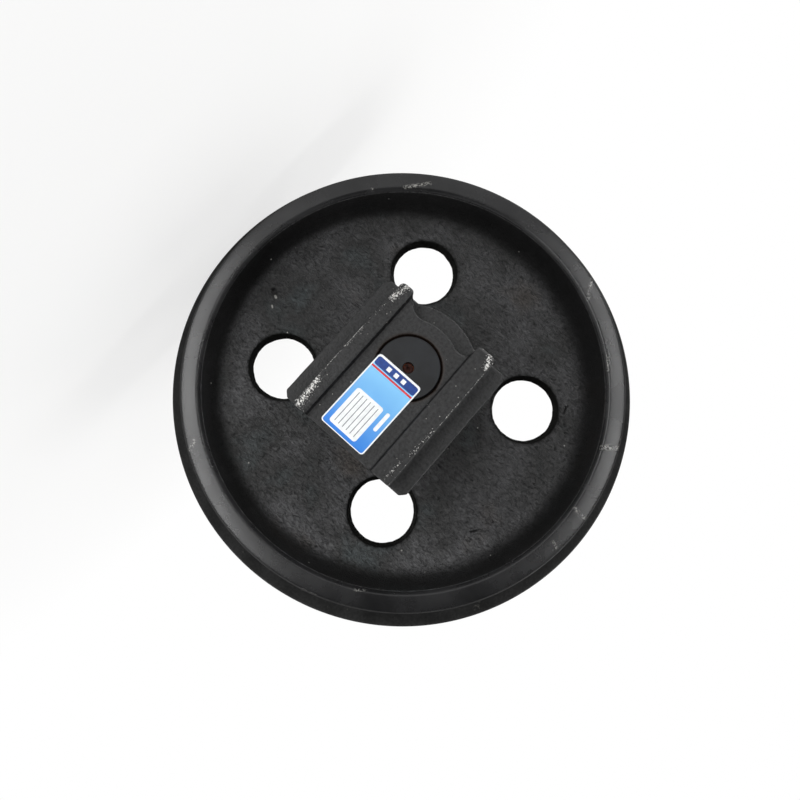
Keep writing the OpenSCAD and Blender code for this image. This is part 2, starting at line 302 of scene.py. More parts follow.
def makeCastPaint():
    # black alkyd enamel sprayed on sand-cast iron: the mould's grain shows through as a pebbled sheen
    look = castPaint
    material, tree, shader = newMaterial("black enamel on sand cast iron")
    place = placeIn(tree)
    drawn = addNode(tree, "Mapping", {"Scale": look["streak"]}, {"Vector": place})
    grain = noiseOn(tree, drawn, look["grain"], 4.0, Roughness=0.65, Distortion=1.2)
    fine = noiseOn(tree, place, look["fineGrain"], 2.0)
    patch = noiseOn(tree, place, look["patch"], 3.0)
    pits = rangeOn(tree, cellsOn(tree, place, look["pit"]), look["pitEdge"], **smooth)
    cells = cellsOn(tree, place, look["speckGap"])
    speckOn = mathOn(tree, "GREATER_THAN", pickOf(tree, cells), look["speckFrom"])
    specks = mathOn(tree, "MULTIPLY", rangeOn(tree, cells, look["speckEdge"], 1.0, 0.0), speckOn)
    bright = mathOn(tree, "MAXIMUM", specks, strokesOn(tree, place, look["chips"]))
    hollows = strokesOn(tree, place, look["hollows"])
    recess = marked(tree, "recessShade")
    alongX = addNode(tree, "SeparateXYZ", {}, {0: place})
    # the paint's tone: mottled by the grain, darker in the pits, painted shade in the blowholes, cracks and
    # rim's corner, painted light towards +x
    shade = rangeOn(tree, grain, noiseSpan, *look["mottle"])
    for factor in (
        rangeOn(tree, pits, (0, 1), look["pitTone"], 1.0),
        rangeOn(tree, hollows, (0, 1), 1.0, look["paintedHollowShade"]),
        rangeOn(tree, alongX, [x * mm for x in look["paintedLightBetween"]], 1.0, look["film"], **smooth),
        rangeOn(tree, recess, (0, 1), 1.0, look["recess"]),
    ):
        shade = mathOn(tree, "MULTIPLY", shade, factor)
    colour = blend(tree, bright, scaled(tree, rampOn(tree, patch, look["tones"]), shade), look["speck"])
    height = mathOn(tree, "MULTIPLY_ADD", fine, look["fineShare"], grain)
    height = mathOn(tree, "MULTIPLY_ADD", pits, look["pitShare"], height)
    height = mathOn(tree, "SUBTRACT", height, hollows)
    rough = rangeOn(tree, grain, noiseSpan, *look["roughness"])
    wire(tree, shader, Base_Color=colour, Normal=bumpOn(tree, look, height),
         Roughness=mathOn(tree, "MULTIPLY_ADD", recess, look["recessRough"], rough),
         Specular_IOR_Level=rangeOn(tree, recess, (0, 1), *look["gloss"]))
    return material


turnedPaint = dict(
    tones=(("#151516", 0.35), ("#202021", 0.65)), patch=40, roughness=(0.22, 0.32), specular=0.42,
    turning=1.6, bump=0.12, bumpHeight=0.1,
    scuff="#8b8a86", crumb=1.5, crumbEdge=(0.46, 0.62), crumbShare=0.9, face=53,
    # ends of each scuff on the rim's face as x, side and z, and its width
    scuffs=(
        ((-199, -1, 73), (-181, -1, 83), 2.2), ((-150, -1, 132), (-138, -1, 142), 2.0),
        ((-74, -1, 182), (-85, -1, 196), 3.2), ((-13, -1, 199), (-11, -1, 216), 2.4),
        ((24, -1, 202), (27, -1, 209), 1.6), ((176, -1, 92), (157, -1, 111), 2.2),
        ((172, -1, -112), (182, -1, -109), 2.6), ((-150, -1, -130), (-170, -1, -114), 2.6),
        ((-126, -1, -153), (-125, -1, -152), 2.6), ((-93, -1, 193), (-86, -1, 197), 2.4),
        ((-30, -1, 212), (-14, -1, 214), 1.6), ((203, -1, 68), (208, -1, 52), 1.5),
        ((60, 1, -198), (74, 1, -196), 2.4), ((-190, 1, -70), (-196, 1, -60), 2.2),
        ((120, 1, 165), (132, 1, 160), 2.2),
    ),
)


def makeTurnedPaint():
    # thin black enamel over a face that was turned on a lathe: smooth, with faint rings and pale scuffs
    look = turnedPaint
    material, tree, shader = newMaterial("black enamel on turned iron", Specular_IOR_Level=look["specular"])
    place = placeIn(tree)
    ringScale = perMm(look["turning"]) / 20  # the wave node itself multiplies places by 20
    rings = addNode(tree, "TexWave", {"wave_type": "RINGS", "rings_direction": "Y", "Scale": ringScale,
                                      "Distortion": 1.2, "Detail": 2.0}, {"Vector": place})
    patch = noiseOn(tree, place, look["patch"], 5.0, Roughness=0.6)
    crumbs = noiseOn(tree, place, look["crumb"], 2.0)
    onFace = Vector((1, look["face"], 1))
    scuffs = [(Vector(a) * onFace, Vector(b) * onFace, width) for a, b, width in look["scuffs"]]
    strokes = strokesOn(tree, place, scuffs)
    broken = rangeOn(tree, crumbs, look["crumbEdge"], 0.0, look["crumbShare"])
    scuffed = mathOn(tree, "MULTIPLY", strokes, broken)
    wire(tree, shader, Base_Color=blend(tree, scuffed, rampOn(tree, patch, look["tones"]), look["scuff"]),
         Roughness=rangeOn(tree, patch, noiseSpan, *look["roughness"]),
         Normal=bumpOn(tree, look, rings.outputs["Fac"]))
    return material


treadPaint = dict(
    dark="#171717", pale="#262626", patch=24, grain=2.4, mottle=(0.7, 1.3), bump=0.8, bumpHeight=0.4,
    rub="#62615d", rubGap=11, rubAt=(0.63, 0.72),
)
flangePaint = dict(treadPaint, dark="#161616", pale="#252525")
holeWallShadePaint = dict(
    treadPaint, dark="#0c0c0b", pale="#161615", patch=6, grain=2.0, bump=1.0,
    rub="#161615", rubGap=6, rubAt=(0.6, 0.7),
)


def makeDipCoat(name, look, **sockets):
    # matt dip coat on the running faces: no clear highlight, so it reads nearly black from the side
    material, tree, shader = newMaterial(name, **sockets)
    place = placeIn(tree)
    grain = noiseOn(tree, place, look["grain"], 3.0)
    patch = noiseOn(tree, place, look["patch"], 3.0)
    rub = noiseOn(tree, place, look["rubGap"], 8.0, Roughness=0.78)
    tone = blend(tree, rangeOn(tree, patch, noiseSpan), look["dark"], look["pale"])
    grainy = scaled(tree, tone, rangeOn(tree, grain, noiseSpan, *look["mottle"]))
    wire(tree, shader, Base_Color=blend(tree, rangeOn(tree, rub, look["rubAt"]), grainy, look["rub"]),
         Normal=bumpOn(tree, look, grain))
    return material


bracketPaint = dict(
    dark="#1b1b1b", pale="#272728", patch=35, grain=2.6, mottle=(0.3, 1.8), roughness=(0.38, 0.60),
    sideShadeTone=0.45,
    metal="#dad9d6", chip=1.5, chipShare=1.6, wornAt=(1.4, 1.5), shine=0.5,  # dull from fine scratches
    dust="#b9b7b2", dustGap=4.5, dustEdge=(0.05, 0.12), dustShare=0.8,
    rust="#2c1d12", bump=1.0, bumpHeight=0.8, chipDepth=0.4,
)


def makeBracketPaint(name, specular):
    # the same enamel on a finer casting, dusty and rubbed through to bright iron along the rails' edges
    look = bracketPaint
    material, tree, shader = newMaterial(name, Specular_IOR_Level=specular)
    place = placeIn(tree)
    chips = noiseOn(tree, place, look["chip"], 4.0, Roughness=0.7)
    grain = noiseOn(tree, place, look["grain"], 3.0, Roughness=0.6)
    patch = noiseOn(tree, place, look["patch"], 3.0)
    worn = mathOn(tree, "MULTIPLY_ADD", chips, look["chipShare"], marked(tree, "edgeWear"))
    bare = rangeOn(tree, worn, look["wornAt"], **smooth)
    # painted shade: walls that face sideways are darker
    sideShaded = rangeOn(tree, marked(tree, "paintedSideShade"), (0, 1), 1.0, look["sideShadeTone"])
    shade = mathOn(tree, "MULTIPLY", rangeOn(tree, grain, noiseSpan, *look["mottle"]), sideShaded)
    grainy = scaled(tree, blend(tree, patch, look["dark"], look["pale"]), shade)
    stain = mathOn(tree, "MULTIPLY", marked(tree, "boreRust"), chips)
    stained = blend(tree, stain, grainy, look["rust"])
    cells = cellsOn(tree, place, look["dustGap"])
    dustOn = mathOn(tree, "LESS_THAN", pickOf(tree, cells), marked(tree, "railDust"))
    dust = mathOn(tree, "MULTIPLY", dustOn, rangeOn(tree, cells, look["dustEdge"], look["dustShare"], 0.0))
    dusted = blend(tree, dust, stained, look["dust"])
    height = mathOn(tree, "MULTIPLY_ADD", bare, -look["chipDepth"], grain)
    wire(tree, shader, Base_Color=blend(tree, bare, dusted, look["metal"]),
         Metallic=mathOn(tree, "MULTIPLY", bare, look["shine"]),
         Roughness=rangeOn(tree, grain, noiseSpan, *look["roughness"]),
         Normal=bumpOn(tree, look, height))
    return material


mottled = dict(spotEdge=(0.35, 0.65), bumpHeight=0.1)


def makeMottled(name, dark, pale, patch, grain, bump, **sockets):
    # two tones in patches this many millimetres wide, with a fine grain
    material, tree, shader = newMaterial(name, **sockets)
    place = placeIn(tree)
    spots = rangeOn(tree, noiseOn(tree, place, patch, 4.0), mottled["spotEdge"])
    relief = bumpOn(tree, dict(mottled, bump=bump), noiseOn(tree, place, grain, 2.0))
    wire(tree, shader, Base_Color=blend(tree, spots, dark, pale), Normal=relief)
    return material


finishes = {
    "cast": makeCastPaint(),
    "turned": makeTurnedPaint(),
    "tread": makeDipCoat("matt black dip coat on the tread", treadPaint,
                         Roughness=0.6, Specular_IOR_Level=0.14),
    "flange": makeDipCoat("matt black dip coat on the flange", flangePaint,
                          Roughness=0.6, Specular_IOR_Level=0.1),
    # painted shade in the cored holes: nearly black, with no shine
    "core": makeDipCoat("painted shade on the cored holes' walls", holeWallShadePaint,
                        Roughness=0.85, Specular_IOR_Level=0.03),
    "bracket": makeBracketPaint("black enamel worn to bright iron", 0.3),
    # painted shade inside the rails: the same enamel without its shine
    "railWall": makeBracketPaint("enamel with painted shade inside the rails", 0.04),
    # turned steel with a film of paint: a smooth, slightly blue black
    "shaft": makeMottled("thin black film on turned steel", "#151618", "#1c1e21", 14, 1.2, 0.15,
                         Roughness=0.45, Specular_IOR_Level=0.3),
    # cast tin bronze: dull gold with darker oil stains
    "bronze": makeMottled("cast tin bronze", "#8a5f2a", "#b98a45", 9, 0.8, 0.1,
                          Metallic=1.0, Roughness=0.38),
    # lapped white iron: even grey mirror, slightly clouded
    "sealIron": makeMottled("lapped white iron", "#7c7d80", "#9a9b9e", 7, 0.6, 0.05,
                            Metallic=1.0, Roughness=0.25),
    # moulded nitrile: matt, faintly dusty black
    "rubber": makeMottled("moulded nitrile", "#101010", "#1b1b1b", 5, 0.7, 0.2,
                          Roughness=0.75, Specular_IOR_Level=0.3),
    # oiled ground steel: dark grey, low shine
    "pinSteel": makeMottled("oiled ground steel", "#3a3836", "#55524e", 6, 0.6, 0.1,
                            Metallic=1.0, Roughness=0.42),
    # steel that has begun to rust in a wet hole: red brown and dull
    "rustySteel": makeMottled("rusting steel", "#170a07", "#38170e", 1.6, 0.5, 0.5,
                              Roughness=0.8, Specular_IOR_Level=0.2),
    # annealed copper gone brown
    "copper": makeMottled("brown annealed copper", "#7a3b22", "#a3603d", 3, 0.5, 0.15,
                          Metallic=0.8, Roughness=0.5),
}
print("materials made:", len(finishes))

nodeFinish = {"shaft": "shaft", "oil_plug": "rustySteel", "plug_washer": "copper"}
for side in ("left", "right"):
    nodeFinish[side + "_bush"] = "bronze"
    nodeFinish[side + "_lock_pin"] = "pinSteel"
    nodeFinish[side + "_shaft_o_ring"] = "rubber"
    for body in ("wheel", "bracket"):
        nodeFinish[f"{side}_{body}_seal_ring"] = "sealIron"
        nodeFinish[f"{side}_{body}_toric"] = "rubber"
for name, finish in nodeFinish.items():
    nodes[name].data.materials.clear()
    nodes[name].data.materials.append(finishes[finish])


# castings

weld = 0.001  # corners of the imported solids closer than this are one


def solidOf(node):
    solid = bmesh.new()
    solid.from_mesh(nodes[node].data)
    bmesh.ops.remove_doubles(solid, verts=solid.verts, dist=weld * mm)
    return solid


def castLumps(mesh, amount, piece, seed):
    # the mould's lumps, scaled by an amount at each place, and the blowholes
    places = []
    for v in mesh.vertices:
        lift = 0
        for i, (width, height) in enumerate(piece["lumps"]):
            lift += height * noiseAt(v.co, width, seed + i)
        lift *= amount(v.co)
        for middle, radius, depth in piece["dents"]:
            away = (v.co / mm - Vector(middle)).length / radius
            if away < 1:
                lift -= depth * (1 - away * away) ** 2
        places.append(v.co + v.normal * (lift * mm))
    for v, place in zip(mesh.vertices, places):
        v.co = place
    mesh.update()


# wheel casting: the solid's own section, softened at its edges and spun finely

wheel = dict(
    cutAngle=76, turns=312, sectionStep=0.5, soften=8, flatness=0.03, castStep=2.6, turnedStep=9.0,
    hubRadius=58.5, hubFlatness=0.1,  # the hub is mostly hidden, so its section is coarser
    lipRadius=192, faceStart=49.6, treadRadius=213.4, flangeRadius=218,  # where each finish starts
    cornerStart=177, cornerEnd=191, lipStart=49.8, lipFade=1.2,  # painted shade on the rim's inner wall
    cornerDrift=7, driftAngle=-98,  # the painted shade starts farther out towards one side
    webHalf=9, holeTurn=31, holeReach=127.5, holeRadius=35.5, holeDraft=3.5, holeLip=1.2,
    holeTurns=96, wallSteps=3, lipSteps=6, cutPast=(3, 4),  # the cutters go past the web's face
    holeWaver=((0.5, 1.6), (0.35, 9.0)), waverAlong=0.05, waverApart=7.0,  # height and turns of the waver
    coreReach=(0.1, 1),  # how far past the hole's radius and the web's face its wall's faces may lie
    mouthFade=2.2, mouthRagged=1.6, mouthGrain=3.0, mouthSeed=9,  # painted shade round the holes' mouths
    lumpsFrom=58, lumpsTo=196, lumpsOut=47, hubFade=6, rimFade=4,  # the machined hub and rim have no lumps
    lumps=((10, 0.30), (5, 0.16)), seed=3,  # width and height of the mould's lumps
    # middle, radius and depth of each blowhole in the casting
    dents=(((12.6, -10, -170.4), 4.6, 2.0), ((-104, -9.3, 62), 3.2, 0.7), ((38, 9.3, 118), 3.6, 0.9)),
    sharp=40,
)
holeAngles = [math.radians(wheel["holeTurn"] + 90 * k) for k in range(4)]
holeMiddles = [Vector((math.cos(a), 0, math.sin(a))) * wheel["holeReach"] for a in holeAngles]


def sectionOf(node, degrees):
    a = math.radians(degrees)
    out = Vector((math.cos(a), 0, math.sin(a)))
    solid = solidOf(node)
    everything = list(solid.verts) + list(solid.edges) + list(solid.faces)
    bmesh.ops.bisect_plane(solid, geom=everything, plane_co=(0, 0, 0), plane_no=(-out.z, 0, out.x),
                           clear_inner=True, clear_outer=True)
    bmesh.ops.remove_doubles(solid, verts=solid.verts, dist=weld * mm)
    start = max(solid.verts, key=lambda v: v.co.dot(out))
    loop, edge = [start], start.link_edges[0]
    while True:
        following = edge.other_vert(loop[-1])
        if following is start:
            break
        loop.append(following)
        edge = next(e for e in following.link_edges if e is not edge)
    points = [Vector((v.co.dot(out), v.co.y)) / mm for v in loop]
    solid.free()
    return points


def evenly(points, step):
    made = []
    for here, following in zip(points, points[1:] + points[:1]):
        count = max(1, round((following - here).length / step))
        made += [here.lerp(following, i / count) for i in range(count)]
    return made


def softened(points, passes):
    for _ in range(passes):
        following = points[1:] + points[:1]
        points = [(points[i - 1] + 2 * points[i] + following[i]) / 4 for i in range(len(points))]
    return points


def wheelZone(radius, out):
    if radius > wheel["flangeRadius"]:
        return "flange"
    if radius > wheel["treadRadius"]:
        return "tread"
    if radius > wheel["lipRadius"] and abs(out) > wheel["faceStart"]:
        return "turned"
    return "cast"


def thinned(points):
    kept, i = [points[0]], 0
    while i < len(points) - 1:
        hidden = points[i].x < wheel["hubRadius"]
        fine = wheelZone(*points[i]) == "cast" and not hidden
        longest = wheel["castStep"] if fine else wheel["turnedStep"]
        limit = wheel["hubFlatness"] if hidden else wheel["flatness"]
        j = i + 1
        while j + 1 < len(points) and (points[j + 1] - points[i]).length < longest:
            chord = (points[j + 1] - points[i]).normalized()
            sag = max(abs((p - points[i]).cross(chord)) for p in points[i + 1:j + 1])
            if sag > limit:
                break
            j += 1
        kept.append(points[j])
        i = j
    return kept


def spun(points, turns):
    made = bmesh.new()
    rings = []
    for k in range(turns):
        a = 2 * math.pi * k / turns
        spots = [Vector((p.x * math.cos(a), p.y, p.x * math.sin(a))) for p in points]
        rings.append([made.verts.new(spot * mm) for spot in spots])
    order = ["cast", "turned", "tread", "flange"]
    for k in range(turns):
        ring, following = rings[k], rings[(k + 1) % turns]
        for i in range(len(points)):
            j = (i + 1) % len(points)
            face = made.faces.new((ring[i], ring[j], following[j], following[i]))
            face.material_index = order.index(wheelZone(*((points[i] + points[j]) / 2)))
    bmesh.ops.recalc_face_normals(made, faces=made.faces)
    mesh = meshFrom(made, "wheel section")
    for finish in order:
        mesh.materials.append(finishes[finish])
    return mesh


def outsideHoles(co):
    return min(math.hypot(co.x / mm - m.x, co.z / mm - m.z) for m in holeMiddles) - wheel["holeRadius"]


def holeProfile():
    # place along the axle and offset from the hole's radius: narrow in the middle, with a rounded lip
    half, lip, draft = wheel["webHalf"], wheel["holeLip"], wheel["holeDraft"]
    straight, steps = half - lip, wheel["wallSteps"]
    curve = [(straight * i / steps, -draft * (1 - straight / half * i / steps)) for i in range(steps + 1)]
    start = curve[-1][1]
    for i in range(1, wheel["lipSteps"] + 1):
        a = math.radians(90 * i / wheel["lipSteps"])
        flare = lip * (1 - math.cos(a)) + draft * lip / half * math.sin(a)
        curve.append((straight + lip * math.sin(a), start + flare))
    past, wider = wheel["cutPast"]
    curve.append((half + past, curve[-1][1] + wider))
    return [(-y, r) for y, r in reversed(curve[1:])] + curve


def holeWaver(hole, t, y):
    # a sand core leaves its hole a little out of round
    total = 0
    for height, often in wheel["holeWaver"]:
        depth = wheel["waverApart"] * hole + wheel["waverAlong"] * often * y
        total += height * noise.noise(Vector((often * math.cos(t), often * math.sin(t), depth)))
    return total


def holeCutters():
    made = bmesh.new()
    turns = wheel["holeTurns"]
    for hole, middle in enumerate(holeMiddles):
        rings = []
        for y, extra in holeProfile():
            ring = []
            for i in range(turns):
                t = 2 * math.pi * i / turns
                r = wheel["holeRadius"] + extra + holeWaver(hole, t, y)
                ring.append(made.verts.new((middle + Vector((r * math.cos(t), y, r * math.sin(t)))) * mm))
            rings.append(ring)
        for ring, following in zip(rings, rings[1:]):
            for i in range(turns):
                j = (i + 1) % turns
                made.faces.new((ring[i], ring[j], following[j], following[i]))
        made.faces.new(rings[0])
        made.faces.new(list(reversed(rings[-1])))
    bmesh.ops.recalc_face_normals(made, faces=made.faces)
    return looseObject("hole cutters", meshFrom(made, "hole cutters"))


def webAmount(co):
    radius, out = math.hypot(co.x, co.z) / mm, abs(co.y) / mm
    inner = clamped((radius - wheel["lumpsFrom"]) / wheel["hubFade"])
    outer = clamped((wheel["lumpsTo"] - radius) / wheel["rimFade"])
    return inner * outer * clamped((wheel["lumpsOut"] - out) / wheel["rimFade"])


# painted shade: 1 in the rim's corner and round the holes' mouths, fading to 0 on the web
def recessShade(v):
    radius, out = math.hypot(v.co.x, v.co.z) / mm, abs(v.co.y) / mm
    towards = math.cos(math.atan2(v.co.z, v.co.x) - math.radians(wheel["driftAngle"]))
    start = wheel["cornerStart"] + wheel["cornerDrift"] * max(0, towards)
    share = clamped((radius - start) / (wheel["cornerEnd"] - start))
    corner = share * share * (3 - 2 * share) * clamped((wheel["lipStart"] - out) / wheel["lipFade"])
    ragged = wheel["mouthRagged"] * noiseAt(v.co, wheel["mouthGrain"], wheel["mouthSeed"])
    return max(corner, clamped(1 - (outsideHoles(v.co) + ragged) / wheel["mouthFade"]))


def makeWheel():
    outline = evenly(sectionOf("idler_wheel", wheel["cutAngle"]), wheel["sectionStep"])
    section = thinned(softened(outline, wheel["soften"]))
    blank = looseObject("wheel blank", spun(section, wheel["turns"]))
    cutters = holeCutters()
    drilled = blank.modifiers.new("holes", "BOOLEAN")
    drilled.object = cutters
    drilled.operation = "DIFFERENCE"
    drilled.solver = "MANIFOLD"
    mesh = bakedMesh(blank)
    bpy.data.objects.remove(cutters)
    past, out = wheel["coreReach"]
    # the holes' walls take the nearly black finish: painted shade
    for face in mesh.polygons:
        if outsideHoles(face.center) < past and abs(face.center.y) / mm < wheel["webHalf"] + out:
            face.material_index = len(mesh.materials)
    mesh.materials.append(finishes["core"])
    castLumps(mesh, webAmount, wheel, wheel["seed"])
    markVertices(mesh, "recessShade", recessShade)
    mesh.shade_smooth()
    mesh.set_sharp_from_angle(angle=math.radians(wheel["sharp"]))
    mesh.name = "wheel casting"
    print("wheel:", len(section), "points in the section,", len(mesh.polygons), "faces")
    return addPiece("idler_wheel_casting", mesh, "wheel", ["idler_wheel"])


makeWheel()


# bracket castings: the solid's skin, softened as sand casting leaves it, then worn along the rails

bracket = dict(
    voxel=1.15, soften=1, softenFactor=0.5, lumps=((9, 0.16), (4, 0.08)),
    dents=(((-52.9, -98.5, -1.3), 2.8, 0.9), ((60, 98.5, 58), 2.6, 0.7)),
    railTop=123, floor=117, ledge=98.5,
    milledAmount=0.25, milledDepth=0.8,  # the guide floor and the rails' tops are milled, so nearly flat
    # painted shade on the rails' inner walls and in the nose's scoop
    railShadeBetween=(-40, 35), railShadeEnd=60, railShadeSlope=0.7, railShadeAbove=1,
    # from, to, width and strength of each worn stretch; x and z along the bracket, y out from the wheel
    wear=(
        ((-2, 123, -52), (86, 123, -52), 1.6, 1.08),
        ((-50, 123, -52), (-2, 123, -52), 1.5, 0.84),
        ((-52, 121, -46), (-36, 123, -49), 11.0, 0.72),
        ((-30, 123, -50), (20, 123, -50), 5.0, 0.50),
        ((86, 123, -51), (86, 123, -39), 3.0, 0.72),
        ((58, 123, -50), (86, 123, -47), 14.0, 0.70),
        ((-50, 123, 52), (30, 123, 52), 1.6, 1.0),
        ((30, 123, 52), (86, 123, 52), 1.5, 0.85),
        ((-52, 121, 46), (-42, 123, 50), 10.0, 0.74),
        ((86, 123, 35), (86, 123, 51), 3.0, 0.60),
        ((26, 123, 50), (56, 123, 49), 6.0, 0.58),
        ((64, 123, 47), (84, 123, 46), 7.0, 0.58),
    ),
    dustDepth=5, dustTop=0.38, dustLow=0.1,  # share of dust cells on the rails' tops and elsewhere
    boreRadius=28.5, rustReach=3.5, rustDepth=110,
    sideShadeStart=1.4, sideShadeFall=2,  # painted shade on walls that stand out from the wheel
)
wornStretches = [(Vector(a), Vector(b), width, strength) for a, b, width, strength in bracket["wear"]]


def distanceTo(p, a, b):
    along = b - a
    return (p - a - along * clamped((p - a).dot(along) / along.length_squared)).length


def edgeWear(v):
    p = Vector((v.co.x, abs(v.co.y), v.co.z)) / mm
    return max(strength * max(0, 1 - distanceTo(p, a, b) / width)
               for a, b, width, strength in wornStretches)


def railDust(v):
    top = (abs(v.co.y) / mm - bracket["railTop"]) / bracket["dustDepth"] + 1
    return bracket["dustLow"] + (bracket["dustTop"] - bracket["dustLow"]) * clamped(top)


def boreRust(v):
    away = abs(math.hypot(v.co.x, v.co.z) / mm - bracket["boreRadius"]) / bracket["rustReach"]
    return max(0, 1 - away) if abs(v.co.y) / mm > bracket["rustDepth"] else 0


# painted shade: full on faces that look sideways, none on faces towards or away from the wheel
def paintedSideShade(v):
    return clamped(bracket["sideShadeStart"] - bracket["sideShadeFall"] * abs(v.normal.y))


def bracketAmount(co):
    milled = abs(co.y) / mm > bracket["floor"] - bracket["milledDepth"]
    return bracket["milledAmount"] if milled else 1.0


def inRailShade(face):
    x, y, z = face.center / mm
    low, high = bracket["railShadeBetween"]
    start = bracket["ledge"] + bracket["railShadeAbove"] if x < bracket["railShadeEnd"] else bracket["floor"]
    return low < z < high and abs(y) > start and abs(face.normal.y) < bracket["railShadeSlope"]


def makeBracket(side, seed):
    node = side + "_bracket"
    blank = looseObject("bracket blank", meshFrom(solidOf(node), "bracket blank"))
    skin = blank.modifiers.new("skin", "REMESH")
    skin.mode = "VOXEL"
    skin.voxel_size = bracket["voxel"] * mm
    soft = blank.modifiers.new("soften", "SMOOTH")
    soft.factor = bracket["softenFactor"]
    soft.iterations = bracket["soften"]
    mesh = bakedMesh(blank)
    castLumps(mesh, bracketAmount, bracket, seed)
    low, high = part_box(node)
    for v in mesh.vertices:  # no lump stands out of the solid's box
        v.co = Vector([min(max(c, a), b) for c, a, b in zip(v.co, low, high)])
    marks = dict(edgeWear=edgeWear, railDust=railDust, boreRust=boreRust, paintedSideShade=paintedSideShade)
    for name, amount in marks.items():
        markVertices(mesh, name, amount)
    mesh.materials.clear()
    mesh.materials.append(finishes["bracket"])
    mesh.materials.append(finishes["railWall"])
    # faces of the rails' inner walls and the scoop take the enamel with painted shade
    for face in mesh.polygons:
        face.material_index = int(inRailShade(face))
    mesh.shade_smooth()
    mesh.name = side + " bracket casting"
    print(side, "bracket:", len(mesh.polygons), "faces")
    return addPiece(side + "_bracket_casting", mesh, "mount", [node])


makeBracket("left", 11)
makeBracket("right", 23)


# label: a printed paper sticker on the left guide floor, lapping over the shaft's end

label = dict(
    middle=(43.5, -3.4), turn=-0.7, size=(75, 46.5), corner=3, cornerSteps=6, floor=117.05, paper=0.16,
    ink=0.02, inkDeep=0.03,  # each layer stands this much above the last, and is this thick
    # middle along and across the label, length, width, corner, ink and layer of each printed shape
    prints=(
        ((0.6, 0), (72.2, 44.1), 2.2, "blueInk", 1),
        ((-31.5, 0), (8, 44.1), 2.2, "navyInk", 2),
        ((-25.6, 0), (1.8, 44.1), 0.1, "redInk", 2),
        ((15, -3), (37, 29), 2.5, "paper", 2),
        ((6, 17), (19, 3.4), 1.5, "paper", 2),
    ),
    squares=dict(along=-31.5, gap=8, count=3, size=4, corner=0.4, layer=3),
    rules=dict(middle=15, first=7.5, gap=4.2, count=6, length=31, width=0.7, corner=0.2, layer=3),
    blue=("#8fd0f5", "#1d78d8"),  # ground at the shaft's end and at the brackets' flat end
    cloud=25, cloudShare=0.25,
)


def makeBlueInk():
    # offset ink on coated paper: even and slightly glossy, the blue deepening along the label
    material, tree, shader = newMaterial("blue offset ink on coated paper",
                                         Roughness=0.35, Specular_IOR_Level=0.4)
    place = placeIn(tree)
    alongX = addNode(tree, "SeparateXYZ", {}, {0: place})
    half = label["size"][0] / 2
    share = rangeOn(tree, alongX, [(label["middle"][0] + end) * mm for end in (-half, half)])
    cloud = noiseOn(tree, place, label["cloud"], 2.0)
    soft = mathOn(tree, "MULTIPLY_ADD", cloud, label["cloudShare"], -label["cloudShare"] / 2)
    mixed = mathOn(tree, "ADD", share, soft)
    mixed.use_clamp = True
    wire(tree, shader, Base_Color=blend(tree, mixed, *label["blue"]))
    return material


def makeInk(colour, dark, pale, roughness):
    # solid prints on the same paper, with its gloss
    name = colour + " offset ink on coated paper"
    return makeMottled(name, dark, pale, 4, 0.6, 0.05, Roughness=roughness)


def roundedOutline(middle, size, corner):
    points = []
    steps = label["cornerSteps"]
    for k, (right, up) in enumerate(((1, 1), (-1, 1), (-1, -1), (1, -1))):
        for i in range(steps + 1):
            a = math.radians(90 * k + 90 * i / steps)
            points.append(Vector((middle[0] + right * (size[0] / 2 - corner) + corner * math.cos(a),
                                  middle[1] + up * (size[1] / 2 - corner) + corner * math.sin(a))))
    return points


def addPlate(made, outline, low, high, slot):
    turn = math.radians(label["turn"])
    rings = []
    for height in (low, high):
        ring = []
        for p in outline:
            x = label["middle"][0] + p.x * math.cos(turn) - p.y * math.sin(turn)
            z = label["middle"][1] + p.x * math.sin(turn) + p.y * math.cos(turn)
            ring.append(made.verts.new(Vector((x, -label["floor"] - height, z)) * mm))
        rings.append(ring)
    faces = [made.faces.new(rings[0]), made.faces.new(list(reversed(rings[1])))]
    for i in range(len(outline)):
        j = (i + 1) % len(outline)
        faces.append(made.faces.new((rings[0][j], rings[0][i], rings[1][i], rings[1][j])))
    for face in faces:
        face.material_index = slot


def makeLabel():
    inks = {
        # clay-coated label paper: bright, slightly cool white with a low gloss
        "paper": makeMottled("coated label paper", "#e6e8ea", "#f1f3f4", 4, 0.6, 0.05,
                             Roughness=0.45, Specular_IOR_Level=0.4),
        "blueInk": makeBlueInk(),
        "navyInk": makeInk("navy", "#12357c", "#1a4390", 0.35),
        "redInk": makeInk("red", "#cf2f35", "#dc4046", 0.35),
        "greyInk": makeInk("grey", "#6f7478", "#7f8488", 0.4),
    }
    names = list(inks)
    made = bmesh.new()
    paper = label["paper"]
    addPlate(made, roundedOutline((0, 0), label["size"], label["corner"]), 0, paper, names.index("paper"))
    prints = list(label["prints"])
    squares, rules = label["squares"], label["rules"]
    for i in range(squares["count"]):
        place = (squares["along"], (i - (squares["count"] - 1) / 2) * squares["gap"])
        size = (squares["size"], squares["size"])
        prints.append((place, size, squares["corner"], "paper", squares["layer"]))
    for i in range(rules["count"]):
        place = (rules["middle"], rules["first"] - i * rules["gap"])
        size = (rules["length"], rules["width"])
        prints.append((place, size, rules["corner"], "greyInk", rules["layer"]))
    for middle, size, corner, colour, layer in prints:
        outline, top = roundedOutline(middle, size, corner), paper + layer * label["ink"]
        addPlate(made, outline, top - label["inkDeep"], top, names.index(colour))
    bmesh.ops.recalc_face_normals(made, faces=made.faces)
    mesh = meshFrom(made, "guide label")
    for name in names:
        mesh.materials.append(inks[name])
    print("label:", len(prints) + 1, "plates")
    addPiece("guide_label", mesh, "mount")


makeLabel()


# stage, in metres: pale floor under the wheel, soft lamps to the picture's left and right

